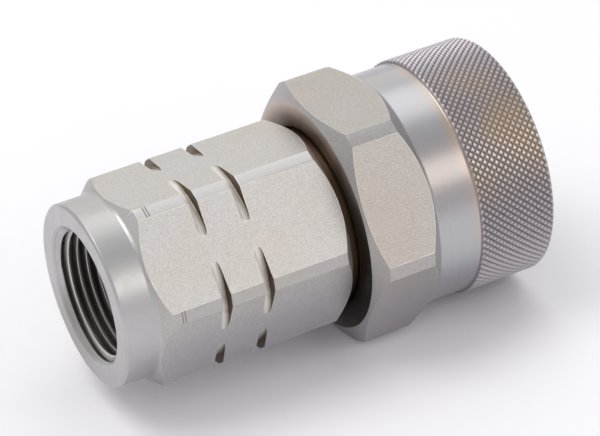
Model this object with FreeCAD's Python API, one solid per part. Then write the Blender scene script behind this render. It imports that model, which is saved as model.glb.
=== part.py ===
import FreeCAD, Part
import math
import os

# Socket half of a screw-to-connect hydraulic quick coupling with a flat-face valve.
# The axis lies along +X, from the threaded port to the mating mouth, and +Z is up.
# The origin is the centre of the port face. Sizes are in millimetres and degrees.

# Port thread, drawn as a plain bore at the thread's major diameter
PORT_MAJOR_DIAMETER = 26.44
PORT_THREAD_END = 17.0
PORT_MOUTH_CHAMFER = 0.5
PORT_FLOOR_ANGLE = 60.0

# Mating plug, from which the radial sizes grow outwards
PLUG_DIAMETER = 24.5
SLIDING_CLEARANCE = 0.05
VALVE_STOP_LEDGE = 1.0
NECK_WALL = 2.2
FLANGE_HEIGHT = 1.4
ASSEMBLY_CLEARANCE = 0.32
COUPLING_THREAD_DEPTH = 1.08

# Port body, a hexagon bar with turned corners, collar and grooves
BODY_LENGTH = 46.6
BODY_HEX_WALL = 3.0
BODY_CORNER_RISE = 2.15
BODY_HEX_ROLL = -7.45
COLLAR_LENGTH = 6.8
COLLAR_STEP = 0.25
COLLAR_EDGE_CHAMFER = 0.45
COLLAR_FILLET = 0.6
HEX_CONE_ANGLE = 50.0
GROOVE_STARTS = (18.6, 27.3)
GROOVE_WIDTH = 2.0
GROOVE_FLOOR_RISE = 0.2
GROOVE_WALL_RUN = 0.15
GROOVE_ROUNDING = 0.35
SCRIBE_START = 10.5
SCRIBE_WIDTH = 0.8
SCRIBE_DEPTH = 0.12

# Screwed joint between port body and front body
TAIL_LENGTH = 10.98
TAIL_THREAD_DEPTH = 0.85
TAIL_UNDERCUT_LENGTH = 1.2
PILOT_LEDGE = 0.65
PILOT_STEP = 0.2
PILOT_LENGTH = 4.4
PILOT_END_GAP = 0.4
SCREWED_CLEARANCE = 0.05

# Screw sleeve
SLEEVE_GAP = 1.4
SLEEVE_LIP_LENGTH = 9.5
SLEEVE_WALL = 2.8
SLEEVE_HEX_RISE = 0.2
SLEEVE_CORNER_RISE = 2.8
SLEEVE_FACE_STEP = 0.7
SLEEVE_REAR_CONE_ANGLE = 60.0
SLEEVE_FRONT_CONE_ANGLE = 45.0
SLEEVE_HEX_LENGTH = 14.5
SLEEVE_NECK_FILLET = 0.4
SLEEVE_EDGE_CHAMFER = 0.5
KNURL_LENGTH = 16.0
KNURL_RISE = 0.6
RELIEF_STEP = 0.3
MOUTH_CHAMFER = 1.0
COUPLING_THREAD_LENGTH = 9.4
NECK_RUNNING_CLEARANCE = 0.08

# Front body
FLANGE_LENGTH = 4.0
NOSE_STEP = 0.6
NOSE_END_CHAMFER = 0.8
NOSE_TO_THREAD_GAP = 0.8
SOCKET_LENGTH = 8.2
SMALL_EDGE = 0.3

# Flat-face valve
VALVE_TRAVEL = 7.5
VALVE_TRAVEL_SPARE = 0.3
VALVE_FLANGE_LENGTH = 2.2
VALVE_STOP_CLEARANCE = 0.02
FACE_RECESS = 0.3
THROAT_WALL = 3.55
THROAT_LENGTH = 7.1
SPRING_WALL = 1.65
VENT_COUNT = 4
VENT_RADIUS = 0.8
STEM_ROD_RADIUS = 4.0
STEM_HEAD_LENGTH = 4.9
STEM_FLARE_LENGTH = 4.4
STEM_FLARE_ROUNDING = 2.0
STEM_STUD_RADIUS = 3.0
STUD_CLEARANCE = 0.05
STUD_PROUD = 1.0

# Stem guide with its fastening
GUIDE_SEAT = 29.0
GUIDE_THICKNESS = 4.0
GUIDE_SEAT_WIDTH = 1.5
GUIDE_CLEARANCE = 0.05
WINDOW_COUNT = 3
WINDOW_HUB_MARGIN = 0.1
WINDOW_RIM_WIDTH = 1.0
WINDOW_SPREAD_ANGLE = 66.0
SNAP_RING_WIRE = 1.3
SNAP_RING_DEPTH = 0.8
SNAP_RING_GAP_ANGLE = 40.0
SNAP_RING_CLEARANCE = 0.03
NUT_ACROSS_FLATS = 10.0
NUT_HEIGHT = 5.0
NUT_CORNER_SHARE = 1.13
NUT_CONE_ANGLE = 60.0
WASHER_RADIUS = 5.5
WASHER_THICKNESS = 1.6

# Spring
SPRING_WIRE = 1.8
SPRING_TURNS = 7.0
SPRING_CLEARANCE = 0.35
SPRING_ROOM = 0.75
SPRING_SEAT_THICKNESS = 0.8
SPRING_SEAT_MARGIN = 0.2

# Seals and bearing ring
SEAL_SECTION = 1.8
SEAL_SIDE_ROOM = 0.3
BACKUP_WIDTH = 1.1
SEAL_CLEARANCE = 0.04
STEM_SEAL_LAND = 1.1
SOCKET_SEAL_LAND = 2.4
BODY_SEAL_LAND = 0.6
DUST_SEAL_SECTION = 1.4
DUST_SEAL_SIDE_ROOM = 0.4
DUST_SEAL_INSET = 3.0
THRUST_WASHER_THICKNESS = 1.5
THRUST_CLEARANCE = 0.02

# Radii worked outwards from the plug
PLUG_RADIUS = PLUG_DIAMETER / 2
SOCKET_RADIUS = PLUG_RADIUS + SLIDING_CLEARANCE
CHAMBER_RADIUS = SOCKET_RADIUS + VALVE_STOP_LEDGE
PILOT_RADIUS = CHAMBER_RADIUS + PILOT_LEDGE
TAIL_ROOT_RADIUS = PILOT_RADIUS + PILOT_STEP
TAIL_RADIUS = TAIL_ROOT_RADIUS + TAIL_THREAD_DEPTH
NECK_RADIUS = TAIL_RADIUS + NECK_WALL
FLANGE_RADIUS = NECK_RADIUS + FLANGE_HEIGHT
NOSE_RADIUS = NECK_RADIUS - NOSE_STEP
THREAD_RADIUS = FLANGE_RADIUS + ASSEMBLY_CLEARANCE + COUPLING_THREAD_DEPTH
RELIEF_RADIUS = THREAD_RADIUS + RELIEF_STEP
SLEEVE_NECK_RADIUS = THREAD_RADIUS + SLEEVE_WALL
SLEEVE_APOTHEM = SLEEVE_NECK_RADIUS + SLEEVE_HEX_RISE
SLEEVE_CORNER_RADIUS = SLEEVE_APOTHEM + SLEEVE_CORNER_RISE
SLEEVE_FACE_RADIUS = SLEEVE_APOTHEM - SLEEVE_FACE_STEP
KNURL_RADIUS = SLEEVE_NECK_RADIUS + KNURL_RISE
LIP_RADIUS = NECK_RADIUS + NECK_RUNNING_CLEARANCE
BODY_APOTHEM = TAIL_RADIUS + BODY_HEX_WALL
BODY_CORNER_RADIUS = BODY_APOTHEM + BODY_CORNER_RISE
COLLAR_RADIUS = BODY_APOTHEM - COLLAR_STEP
PORT_RADIUS = PORT_MAJOR_DIAMETER / 2
THROAT_RADIUS = PLUG_RADIUS - THROAT_WALL
HEAD_RADIUS = THROAT_RADIUS - SLIDING_CLEARANCE
VALVE_FLANGE_RADIUS = CHAMBER_RADIUS - 2 * SLIDING_CLEARANCE
SPRING_BORE_RADIUS = PLUG_RADIUS - SPRING_WALL
SPRING_OUTER_RADIUS = SPRING_BORE_RADIUS - SPRING_CLEARANCE
GUIDE_BORE_RADIUS = SPRING_OUTER_RADIUS + SPRING_ROOM
GUIDE_RADIUS = GUIDE_BORE_RADIUS - GUIDE_CLEARANCE
FLOW_BORE_RADIUS = GUIDE_BORE_RADIUS - GUIDE_SEAT_WIDTH
WINDOW_INNER_RADIUS = WASHER_RADIUS + WINDOW_HUB_MARGIN
WINDOW_OUTER_RADIUS = FLOW_BORE_RADIUS - WINDOW_RIM_WIDTH
SNAP_GROOVE_RADIUS = GUIDE_BORE_RADIUS + SNAP_RING_DEPTH
SOCKET_GROOVE_RADIUS = SOCKET_RADIUS + SEAL_SECTION
STEM_GROOVE_RADIUS = HEAD_RADIUS - SEAL_SECTION
BODY_GROOVE_RADIUS = PILOT_RADIUS - SEAL_SECTION
DUST_GROOVE_RADIUS = LIP_RADIUS + DUST_SEAL_SECTION

# Room for the round seals along the axis
SEAL_WIDTH = SEAL_SECTION + SEAL_SIDE_ROOM
DUST_SEAL_WIDTH = DUST_SEAL_SECTION + DUST_SEAL_SIDE_ROOM

# Stations along the axis, from the port face
TAIL_END = BODY_LENGTH + TAIL_LENGTH
PILOT_START = TAIL_END - PILOT_LENGTH
PILOT_BORE_END = TAIL_END + PILOT_END_GAP
VALVE_REAR = TAIL_END + VALVE_TRAVEL_SPARE + VALVE_TRAVEL
VALVE_FLANGE_FRONT = VALVE_REAR + VALVE_FLANGE_LENGTH
STOP_LEDGE = VALVE_FLANGE_FRONT + VALVE_STOP_CLEARANCE
NOSE_END = STOP_LEDGE + SOCKET_LENGTH
VALVE_FRONT = NOSE_END - FACE_RECESS
THREAD_START = NOSE_END + NOSE_TO_THREAD_GAP
THREAD_END = THREAD_START + COUPLING_THREAD_LENGTH
SLEEVE_START = BODY_LENGTH + SLEEVE_GAP
SLEEVE_END = THREAD_END + MOUTH_CHAMFER
SLEEVE_HEX_END = SLEEVE_START + SLEEVE_HEX_LENGTH
KNURL_START = SLEEVE_END - KNURL_LENGTH
LIP_END = SLEEVE_START + SLEEVE_LIP_LENGTH
DUST_GROOVE_START = SLEEVE_START + DUST_SEAL_INSET
WASHER_RING_START = LIP_END + THRUST_CLEARANCE
FLANGE_START = WASHER_RING_START + THRUST_WASHER_THICKNESS + THRUST_CLEARANCE
FLANGE_END = FLANGE_START + FLANGE_LENGTH
SPRING_FRONT = VALVE_FRONT - THROAT_LENGTH
GUIDE_FRONT = GUIDE_SEAT + GUIDE_THICKNESS
SPRING_REAR = GUIDE_FRONT + SPRING_SEAT_THICKNESS
SNAP_RING_END = GUIDE_FRONT + SNAP_RING_WIRE + 2 * SNAP_RING_CLEARANCE
SOCKET_BACKUP_END = NOSE_END - SOCKET_SEAL_LAND
SOCKET_BACKUP_START = SOCKET_BACKUP_END - BACKUP_WIDTH
SOCKET_SEAL_START = SOCKET_BACKUP_START - SEAL_WIDTH
HEAD_START = VALVE_FRONT - STEM_HEAD_LENGTH
STEM_SEAL_START = HEAD_START + STEM_SEAL_LAND
STEM_BACKUP_START = STEM_SEAL_START + SEAL_WIDTH
STEM_BACKUP_END = STEM_BACKUP_START + BACKUP_WIDTH
BODY_SEAL_END = TAIL_END - BODY_SEAL_LAND
BODY_SEAL_START = BODY_SEAL_END - SEAL_WIDTH
BODY_BACKUP_START = BODY_SEAL_START - BACKUP_WIDTH
NUT_FRONT = GUIDE_SEAT - WASHER_THICKNESS
NUT_REAR = NUT_FRONT - NUT_HEIGHT

ORIGIN = FreeCAD.Vector(0, 0, 0)
AXIS = FreeCAD.Vector(1, 0, 0)
FULL_TURN = 360.0
OVERRUN = 1.0
SHORTEST_EDGE = 1e-6


def run_of_cone(rise, angle):
    """Length along the axis of a cone that rises by this much at this angle to the axis."""
    return rise / math.tan(math.radians(angle))


def outline_face(corners):
    """Flat half section from its corners (x, r); a third value rounds that corner."""
    points = [FreeCAD.Vector(corner[0], corner[1], 0) for corner in corners]
    arrivals, departures, edges = [], [], []
    for i, point in enumerate(points):
        rounding = corners[i][2] if len(corners[i]) > 2 else 0
        if not rounding:
            arrivals.append(point)
            departures.append(point)
            continue
        back = (points[i - 1] - point).normalize()
        ahead = (points[(i + 1) % len(points)] - point).normalize()
        half = back.getAngle(ahead) / 2
        reach = rounding / math.tan(half)
        bulge = rounding / math.sin(half) - rounding
        arrivals.append(point + back * reach)
        departures.append(point + ahead * reach)
        middle = point + (back + ahead).normalize() * bulge
        edges.append(Part.Arc(arrivals[i], middle, departures[i]).toShape())
    for i, start in enumerate(departures):
        end = arrivals[(i + 1) % len(points)]
        if (end - start).Length > SHORTEST_EDGE:
            edges.append(Part.makeLine(start, end))
    return Part.Face(Part.Wire(Part.sortEdges(edges)[0]))


def turned(corners, angle=FULL_TURN):
    """Solid turned about the axis from the corners of its half section."""
    return outline_face(corners).revolve(ORIGIN, AXIS, angle)


def ring(start, end, inner, outer):
    """Plain ring between two stations and two radii."""
    return turned([(start, inner), (end, inner), (end, outer), (start, outer)])


def wire_ring(station, inner, outer, angle=FULL_TURN):
    """Ring of round section between two radii, centred on one station."""
    centre = FreeCAD.Vector(station, (inner + outer) / 2, 0)
    circle = Part.makeCircle((outer - inner) / 2, centre, FreeCAD.Vector(0, 0, 1))
    return Part.Face(Part.Wire(circle)).revolve(ORIGIN, AXIS, angle)


def hexagon(start, end, apothem, roll=0.0):
    """Hexagonal bar along the axis with one flat facing down, rolled about the axis."""
    corner = apothem / math.cos(math.radians(30))
    points = []
    for i in range(7):
        angle = math.radians(60 * i + roll)
        points.append(FreeCAD.Vector(start, corner * math.cos(angle), corner * math.sin(angle)))
    face = Part.Face(Part.makePolygon(points))
    return face.extrude(AXIS * (end - start))


def round_bar(start, end, radius, centre_y=0.0):
    """Round bar along the axis direction, centred at this distance from the axis."""
    return Part.makeCylinder(radius, end - start, FreeCAD.Vector(start, centre_y, 0), AXIS)


def around_axis(shape, count):
    """Copies of a shape spread evenly round the axis."""
    copies = []
    for i in range(count):
        copy = shape.copy()
        copy.rotate(ORIGIN, AXIS, FULL_TURN * i / count)
        copies.append(copy)
    return copies


def body_groove(start):
    """Corners of one square groove turned round the hexagon, with a little draft and a rounded floor."""
    floor = BODY_APOTHEM + GROOVE_FLOOR_RISE
    end = start + GROOVE_WIDTH
    return [
        (start, BODY_CORNER_RADIUS),
        (start + GROOVE_WALL_RUN, floor, GROOVE_ROUNDING),
        (end - GROOVE_WALL_RUN, floor, GROOVE_ROUNDING),
        (end, BODY_CORNER_RADIUS),
    ]


def port_body():
    cone_run = run_of_cone(BODY_CORNER_RADIUS - COLLAR_RADIUS, HEX_CONE_ANGLE)
    floor_run = run_of_cone(PORT_RADIUS - FLOW_BORE_RADIUS, PORT_FLOOR_ANGLE)
    scribe_radius = BODY_CORNER_RADIUS - SCRIBE_DEPTH
    corners = [
        (0, PORT_RADIUS + PORT_MOUTH_CHAMFER),
        (0, COLLAR_RADIUS - COLLAR_EDGE_CHAMFER),
        (COLLAR_EDGE_CHAMFER, COLLAR_RADIUS),
        (COLLAR_LENGTH, COLLAR_RADIUS, COLLAR_FILLET),
        (COLLAR_LENGTH + cone_run, BODY_CORNER_RADIUS),
        (SCRIBE_START, BODY_CORNER_RADIUS),
        (SCRIBE_START, scribe_radius),
        (SCRIBE_START + SCRIBE_WIDTH, scribe_radius),
        (SCRIBE_START + SCRIBE_WIDTH, BODY_CORNER_RADIUS),
    ]
    for start in GROOVE_STARTS:
        corners += body_groove(start)
    pilot_radius = PILOT_RADIUS - SLIDING_CLEARANCE
    corners += [
        (BODY_LENGTH - cone_run, BODY_CORNER_RADIUS),
        (BODY_LENGTH, COLLAR_RADIUS),
        (BODY_LENGTH, TAIL_ROOT_RADIUS),
        (BODY_LENGTH + TAIL_UNDERCUT_LENGTH, TAIL_ROOT_RADIUS),
        (BODY_LENGTH + TAIL_UNDERCUT_LENGTH + TAIL_THREAD_DEPTH, TAIL_RADIUS),
        (PILOT_START - TAIL_THREAD_DEPTH - PILOT_STEP, TAIL_RADIUS),
        (PILOT_START, pilot_radius),
        (BODY_BACKUP_START, pilot_radius),
        (BODY_BACKUP_START, BODY_GROOVE_RADIUS),
        (BODY_SEAL_END, BODY_GROOVE_RADIUS),
        (BODY_SEAL_END, pilot_radius),
        (TAIL_END - SMALL_EDGE, pilot_radius),
        (TAIL_END, pilot_radius - SMALL_EDGE),
        (TAIL_END, GUIDE_BORE_RADIUS),
        (SNAP_RING_END, GUIDE_BORE_RADIUS),
        (SNAP_RING_END, SNAP_GROOVE_RADIUS),
        (GUIDE_FRONT, SNAP_GROOVE_RADIUS),
        (GUIDE_FRONT, GUIDE_BORE_RADIUS),
        (GUIDE_SEAT, GUIDE_BORE_RADIUS),
        (GUIDE_SEAT, FLOW_BORE_RADIUS),
        (PORT_THREAD_END + floor_run, FLOW_BORE_RADIUS),
        (PORT_THREAD_END, PORT_RADIUS),
        (PORT_MOUTH_CHAMFER, PORT_RADIUS),
    ]
    bar = hexagon(-OVERRUN, TAIL_END + OVERRUN, BODY_APOTHEM, BODY_HEX_ROLL)
    return turned(corners).common(bar)


def front_body():
    thread_bore = TAIL_RADIUS + SCREWED_CLEARANCE
    thread_step = thread_bore - PILOT_RADIUS
    return turned([
        (BODY_LENGTH, thread_bore + SMALL_EDGE),
        (BODY_LENGTH, NECK_RADIUS - SMALL_EDGE),
        (BODY_LENGTH + SMALL_EDGE, NECK_RADIUS),
        (FLANGE_START, NECK_RADIUS),
        (FLANGE_START, FLANGE_RADIUS),
        (FLANGE_END - SMALL_EDGE, FLANGE_RADIUS),
        (FLANGE_END, FLANGE_RADIUS - SMALL_EDGE),
        (FLANGE_END, NOSE_RADIUS, SMALL_EDGE),
        (NOSE_END - NOSE_END_CHAMFER, NOSE_RADIUS),
        (NOSE_END, NOSE_RADIUS - NOSE_END_CHAMFER),
        (NOSE_END, SOCKET_RADIUS + SMALL_EDGE),
        (NOSE_END - SMALL_EDGE, SOCKET_RADIUS),
        (SOCKET_BACKUP_END, SOCKET_RADIUS),
        (SOCKET_BACKUP_END, SOCKET_GROOVE_RADIUS),
        (SOCKET_SEAL_START, SOCKET_GROOVE_RADIUS),
        (SOCKET_SEAL_START, SOCKET_RADIUS),
        (STOP_LEDGE, SOCKET_RADIUS),
        (STOP_LEDGE, CHAMBER_RADIUS),
        (PILOT_BORE_END, CHAMBER_RADIUS),
        (PILOT_BORE_END, PILOT_RADIUS),
        (PILOT_START + SMALL_EDGE, PILOT_RADIUS),
        (PILOT_START + SMALL_EDGE - thread_step, thread_bore),
        (BODY_LENGTH + SMALL_EDGE, thread_bore),
    ])


def screw_sleeve():
    rear_run = run_of_cone(SLEEVE_CORNER_RADIUS - SLEEVE_FACE_RADIUS, SLEEVE_REAR_CONE_ANGLE)
    front_run = run_of_cone(SLEEVE_CORNER_RADIUS - SLEEVE_NECK_RADIUS, SLEEVE_FRONT_CONE_ANGLE)
    dust_groove_end = DUST_GROOVE_START + DUST_SEAL_WIDTH
    blank = turned([
        (SLEEVE_START, LIP_RADIUS + SLEEVE_EDGE_CHAMFER),
        (SLEEVE_START, SLEEVE_FACE_RADIUS),
        (SLEEVE_START + rear_run, SLEEVE_CORNER_RADIUS),
        (SLEEVE_HEX_END - front_run, SLEEVE_CORNER_RADIUS),
        (SLEEVE_HEX_END, SLEEVE_NECK_RADIUS, SLEEVE_NECK_FILLET),
        (KNURL_START, SLEEVE_NECK_RADIUS),
        (KNURL_START + KNURL_RISE, KNURL_RADIUS),
        (SLEEVE_END - SLEEVE_EDGE_CHAMFER, KNURL_RADIUS),
        (SLEEVE_END, KNURL_RADIUS - SLEEVE_EDGE_CHAMFER),
        (SLEEVE_END, THREAD_RADIUS + MOUTH_CHAMFER),
        (THREAD_END, THREAD_RADIUS),
        (THREAD_START, THREAD_RADIUS),
        (THREAD_START - RELIEF_STEP, RELIEF_RADIUS),
        (LIP_END, RELIEF_RADIUS, SMALL_EDGE),
        (LIP_END, LIP_RADIUS),
        (dust_groove_end, LIP_RADIUS),
        (dust_groove_end, DUST_GROOVE_RADIUS),
        (DUST_GROOVE_START, DUST_GROOVE_RADIUS),
        (DUST_GROOVE_START, LIP_RADIUS),
        (SLEEVE_START + SLEEVE_EDGE_CHAMFER, LIP_RADIUS),
    ])
    hex_start = SLEEVE_START - OVERRUN
    hex_end = (SLEEVE_HEX_END + KNURL_START) / 2
    waste = round_bar(hex_start, hex_end, SLEEVE_CORNER_RADIUS + OVERRUN)
    return blank.cut(waste.cut(hexagon(hex_start, hex_end, SLEEVE_APOTHEM)))


def valve_sleeve():
    blank = turned([
        (VALVE_REAR, SPRING_BORE_RADIUS),
        (VALVE_REAR, VALVE_FLANGE_RADIUS - SMALL_EDGE),
        (VALVE_REAR + SMALL_EDGE, VALVE_FLANGE_RADIUS),
        (VALVE_FLANGE_FRONT, VALVE_FLANGE_RADIUS),
        (VALVE_FLANGE_FRONT, PLUG_RADIUS),
        (VALVE_FRONT - SMALL_EDGE, PLUG_RADIUS),
        (VALVE_FRONT, PLUG_RADIUS - SMALL_EDGE),
        (VALVE_FRONT, THROAT_RADIUS),
        (SPRING_FRONT, THROAT_RADIUS),
        (SPRING_FRONT, SPRING_BORE_RADIUS),
    ])
    vent = round_bar(VALVE_REAR - OVERRUN, VALVE_FLANGE_FRONT, VENT_RADIUS, VALVE_FLANGE_RADIUS)
    return blank.cut(around_axis(vent, VENT_COUNT))


def valve_stem():
    return turned([
        (NUT_REAR - STUD_PROUD, 0),
        (NUT_REAR - STUD_PROUD, STEM_STUD_RADIUS - SMALL_EDGE),
        (NUT_REAR - STUD_PROUD + SMALL_EDGE, STEM_STUD_RADIUS),
        (GUIDE_FRONT, STEM_STUD_RADIUS),
        (GUIDE_FRONT, STEM_ROD_RADIUS),
        (HEAD_START - STEM_FLARE_LENGTH, STEM_ROD_RADIUS, STEM_FLARE_ROUNDING),
        (HEAD_START, HEAD_RADIUS),
        (STEM_SEAL_START, HEAD_RADIUS),
        (STEM_SEAL_START, STEM_GROOVE_RADIUS),
        (STEM_BACKUP_END, STEM_GROOVE_RADIUS),
        (STEM_BACKUP_END, HEAD_RADIUS),
        (VALVE_FRONT, HEAD_RADIUS),
        (VALVE_FRONT, 0),
    ])


def stem_guide():
    start, end = GUIDE_SEAT - OVERRUN, GUIDE_FRONT + OVERRUN
    middle = (WINDOW_INNER_RADIUS + WINDOW_OUTER_RADIUS) / 2
    slot = turned([
        (start, WINDOW_INNER_RADIUS),
        (end, WINDOW_INNER_RADIUS),
        (end, WINDOW_OUTER_RADIUS),
        (start, WINDOW_OUTER_RADIUS),
    ], WINDOW_SPREAD_ANGLE)
    first_end = round_bar(start, end, (WINDOW_OUTER_RADIUS - WINDOW_INNER_RADIUS) / 2, middle)
    last_end = first_end.copy()
    last_end.rotate(ORIGIN, AXIS, WINDOW_SPREAD_ANGLE)
    window = slot.fuse([first_end, last_end])
    disc = ring(GUIDE_SEAT, GUIDE_FRONT, STEM_STUD_RADIUS + STUD_CLEARANCE, GUIDE_RADIUS)
    return disc.cut(around_axis(window, WINDOW_COUNT))


def guide_snap_ring():
    station = GUIDE_FRONT + SNAP_RING_CLEARANCE + SNAP_RING_WIRE / 2
    outer = SNAP_GROOVE_RADIUS - SNAP_RING_CLEARANCE
    return wire_ring(station, outer - SNAP_RING_WIRE, outer, FULL_TURN - SNAP_RING_GAP_ANGLE)


def stem_nut():
    apothem = NUT_ACROSS_FLATS / 2
    corner = apothem * NUT_CORNER_SHARE
    run = run_of_cone(corner - apothem, NUT_CONE_ANGLE)
    bore = STEM_STUD_RADIUS + STUD_CLEARANCE
    blank = turned([
        (NUT_REAR, bore + SMALL_EDGE),
        (NUT_REAR, apothem),
        (NUT_REAR + run, corner),
        (NUT_FRONT - run, corner),
        (NUT_FRONT, apothem),
        (NUT_FRONT, bore + SMALL_EDGE),
        (NUT_FRONT - SMALL_EDGE, bore),
        (NUT_REAR + SMALL_EDGE, bore),
    ])
    return blank.common(hexagon(NUT_REAR - OVERRUN, NUT_FRONT + OVERRUN, apothem))


def stem_washer():
    return ring(NUT_FRONT, GUIDE_SEAT, STEM_STUD_RADIUS + STUD_CLEARANCE, WASHER_RADIUS)


def spring_seat():
    inner = SPRING_OUTER_RADIUS - SPRING_WIRE - SPRING_SEAT_MARGIN
    return ring(GUIDE_FRONT, SPRING_REAR, inner, SPRING_OUTER_RADIUS)


def valve_spring():
    """Round-wire spring with both ends ground flat on their seats."""
    wire_radius = SPRING_WIRE / 2
    coil_radius = SPRING_OUTER_RADIUS - wire_radius
    length = SPRING_FRONT - SPRING_REAR
    helix = Part.makeHelix(length / SPRING_TURNS, length, coil_radius)
    start = FreeCAD.Vector(coil_radius, 0, 0)
    section = Part.Wire(Part.makeCircle(wire_radius, start, FreeCAD.Vector(0, 1, 0)))
    coil = Part.Wire(helix).makePipeShell([section], True, True)
    coil.rotate(ORIGIN, FreeCAD.Vector(0, 1, 0), 90)
    coil.translate(AXIS * SPRING_REAR)
    return coil.common(round_bar(SPRING_REAR, SPRING_FRONT, SPRING_OUTER_RADIUS + OVERRUN))


def seal_ring(start, inner, outer):
    """Rubber ring of round section in the middle of its room in the groove."""
    return wire_ring(start + SEAL_WIDTH / 2, inner, outer)


def backup_ring(start, inner, outer):
    """Square-section ring that stops the rubber creeping into the gap."""
    return ring(start, start + BACKUP_WIDTH - SEAL_CLEARANCE, inner, outer)


def socket_seal():
    inner, outer = PLUG_RADIUS + SEAL_CLEARANCE, SOCKET_GROOVE_RADIUS - SEAL_CLEARANCE
    return seal_ring(SOCKET_SEAL_START, inner, outer)


def socket_backup_ring():
    inner, outer = PLUG_RADIUS + SEAL_CLEARANCE, SOCKET_GROOVE_RADIUS - SEAL_CLEARANCE
    return backup_ring(SOCKET_BACKUP_START, inner, outer)


def stem_seal():
    inner, outer = STEM_GROOVE_RADIUS + SEAL_CLEARANCE, THROAT_RADIUS - SEAL_CLEARANCE
    return seal_ring(STEM_SEAL_START, inner, outer)


def stem_backup_ring():
    inner, outer = STEM_GROOVE_RADIUS + SEAL_CLEARANCE, THROAT_RADIUS - SEAL_CLEARANCE
    return backup_ring(STEM_BACKUP_START, inner, outer)


def body_seal():
    inner, outer = BODY_GROOVE_RADIUS + SEAL_CLEARANCE, PILOT_RADIUS - SEAL_CLEARANCE
    return seal_ring(BODY_SEAL_START, inner, outer)


def body_backup_ring():
    inner, outer = BODY_GROOVE_RADIUS + SEAL_CLEARANCE, PILOT_RADIUS - SEAL_CLEARANCE
    return backup_ring(BODY_BACKUP_START, inner, outer)


def dust_seal():
    inner, outer = NECK_RADIUS + SEAL_CLEARANCE, DUST_GROOVE_RADIUS - SEAL_CLEARANCE
    return wire_ring(DUST_GROOVE_START + DUST_SEAL_WIDTH / 2, inner, outer)


def thrust_washer():
    end = WASHER_RING_START + THRUST_WASHER_THICKNESS
    return ring(WASHER_RING_START, end, LIP_RADIUS, FLANGE_RADIUS)


PIECES = (
    port_body,
    front_body,
    screw_sleeve,
    valve_sleeve,
    valve_spring,
    valve_stem,
    stem_guide,
    guide_snap_ring,
    stem_nut,
    stem_washer,
    spring_seat,
    stem_seal,
    stem_backup_ring,
    socket_seal,
    socket_backup_ring,
    body_seal,
    body_backup_ring,
    thrust_washer,
    dust_seal,
)

os.makedirs("parts", exist_ok=True)
for piece in PIECES:
    piece().exportStep(f"parts/{piece.__name__}.step")
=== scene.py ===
import math

import bmesh
import bpy
from bpy.props import FloatProperty, FloatVectorProperty, IntProperty, PointerProperty
from mathutils import Matrix, Vector


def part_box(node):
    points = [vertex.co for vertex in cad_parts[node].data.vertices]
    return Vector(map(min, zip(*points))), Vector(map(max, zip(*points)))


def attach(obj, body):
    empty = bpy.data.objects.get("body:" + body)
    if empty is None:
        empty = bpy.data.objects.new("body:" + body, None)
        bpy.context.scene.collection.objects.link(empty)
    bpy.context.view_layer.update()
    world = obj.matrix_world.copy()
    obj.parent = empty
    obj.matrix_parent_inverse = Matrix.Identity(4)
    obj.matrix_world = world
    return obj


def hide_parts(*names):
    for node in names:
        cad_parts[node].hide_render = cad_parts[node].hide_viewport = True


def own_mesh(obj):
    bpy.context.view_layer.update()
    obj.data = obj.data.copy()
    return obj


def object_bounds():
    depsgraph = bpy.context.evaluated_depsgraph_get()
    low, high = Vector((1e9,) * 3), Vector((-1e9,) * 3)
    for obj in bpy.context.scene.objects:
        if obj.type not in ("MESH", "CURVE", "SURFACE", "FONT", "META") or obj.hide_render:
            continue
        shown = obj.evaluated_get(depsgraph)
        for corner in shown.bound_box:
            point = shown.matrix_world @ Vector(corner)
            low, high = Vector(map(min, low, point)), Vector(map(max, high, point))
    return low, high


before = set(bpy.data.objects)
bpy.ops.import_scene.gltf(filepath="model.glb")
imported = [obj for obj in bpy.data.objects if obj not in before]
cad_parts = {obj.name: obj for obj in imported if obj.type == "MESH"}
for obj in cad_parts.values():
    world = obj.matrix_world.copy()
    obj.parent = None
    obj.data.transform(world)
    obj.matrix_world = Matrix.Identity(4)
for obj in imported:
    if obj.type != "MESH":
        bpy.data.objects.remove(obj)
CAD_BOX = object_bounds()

bl_info = {
    "name": "Screw coupling visuals",
    "version": (1, 0, 0),
    "blender": (4, 5, 0),
    "location": "View3D > Sidebar > Coupling",
    "description": "Surfaces, finishes and stage for one half of a flat-face screw coupling",
    "category": "Object",
}

MM = 0.001
AXIS = Vector((1, 0, 0))
HEX_SIDES = 6
SHARP_ANGLE = math.radians(40)

# Places from the frame: the boxes of parts in model.glb
SLEEVE_LOW, SLEEVE_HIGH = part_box("screw_sleeve")
SPRING_LOW, SPRING_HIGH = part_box("valve_spring")
TAIL_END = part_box("port_body")[1].x

# Tolerances: points that are one, points that are level, and a margin that tells two surfaces apart
SAME_PLACE = 1e-7
LEVEL = 1e-6
MARGIN = 0.05 * MM
# An outline's roundings past this size get five segments, the smaller ones three
WIDE_ROUNDING = 0.3 * MM
# Round a cut flat: how near a point counts as on the plane, and the shortest edge that is left
FLAT_SNAP = 0.005 * MM
RIM_WELD = 0.06 * MM
# How far a thread's ridge stays clear of the chamfer that cuts it, and how deep its foot is let into the wall
RIDGE_CLEARANCE = 0.02 * MM
RIDGE_EMBED = 0.06 * MM
# Half widths of a ridge at its base and at its crest, as shares of the pitch
PORT_RIDGE = (0.47, 0.07)
COUPLING_RIDGE = (0.44, 0.09)

# Sides with a colour of their own, all painted light but the neck's yellow cast: the angle about the axis and
# the spread over which it fades, in degrees
# Painted reflection: a violet tint on the underside of the blasted plate, which faces the floor
BLASTED_UNDERSIDE_PAINTED_REFLECTION = (240, 55)
# Painted reflection: a dark brown patch low on the collar and the port face
COLLAR_PAINTED_REFLECTION = (300, 42)
# Painted reflection: a darker pink on the neck's front side
NECK_PAINTED_REFLECTION = (146, 24)
NECK_TINT = (130, 62)
# Painted shade: nearly black on the lower side of the gap
GAP_UNDERSIDE_PAINTED_SHADE = (200, 80)
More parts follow.
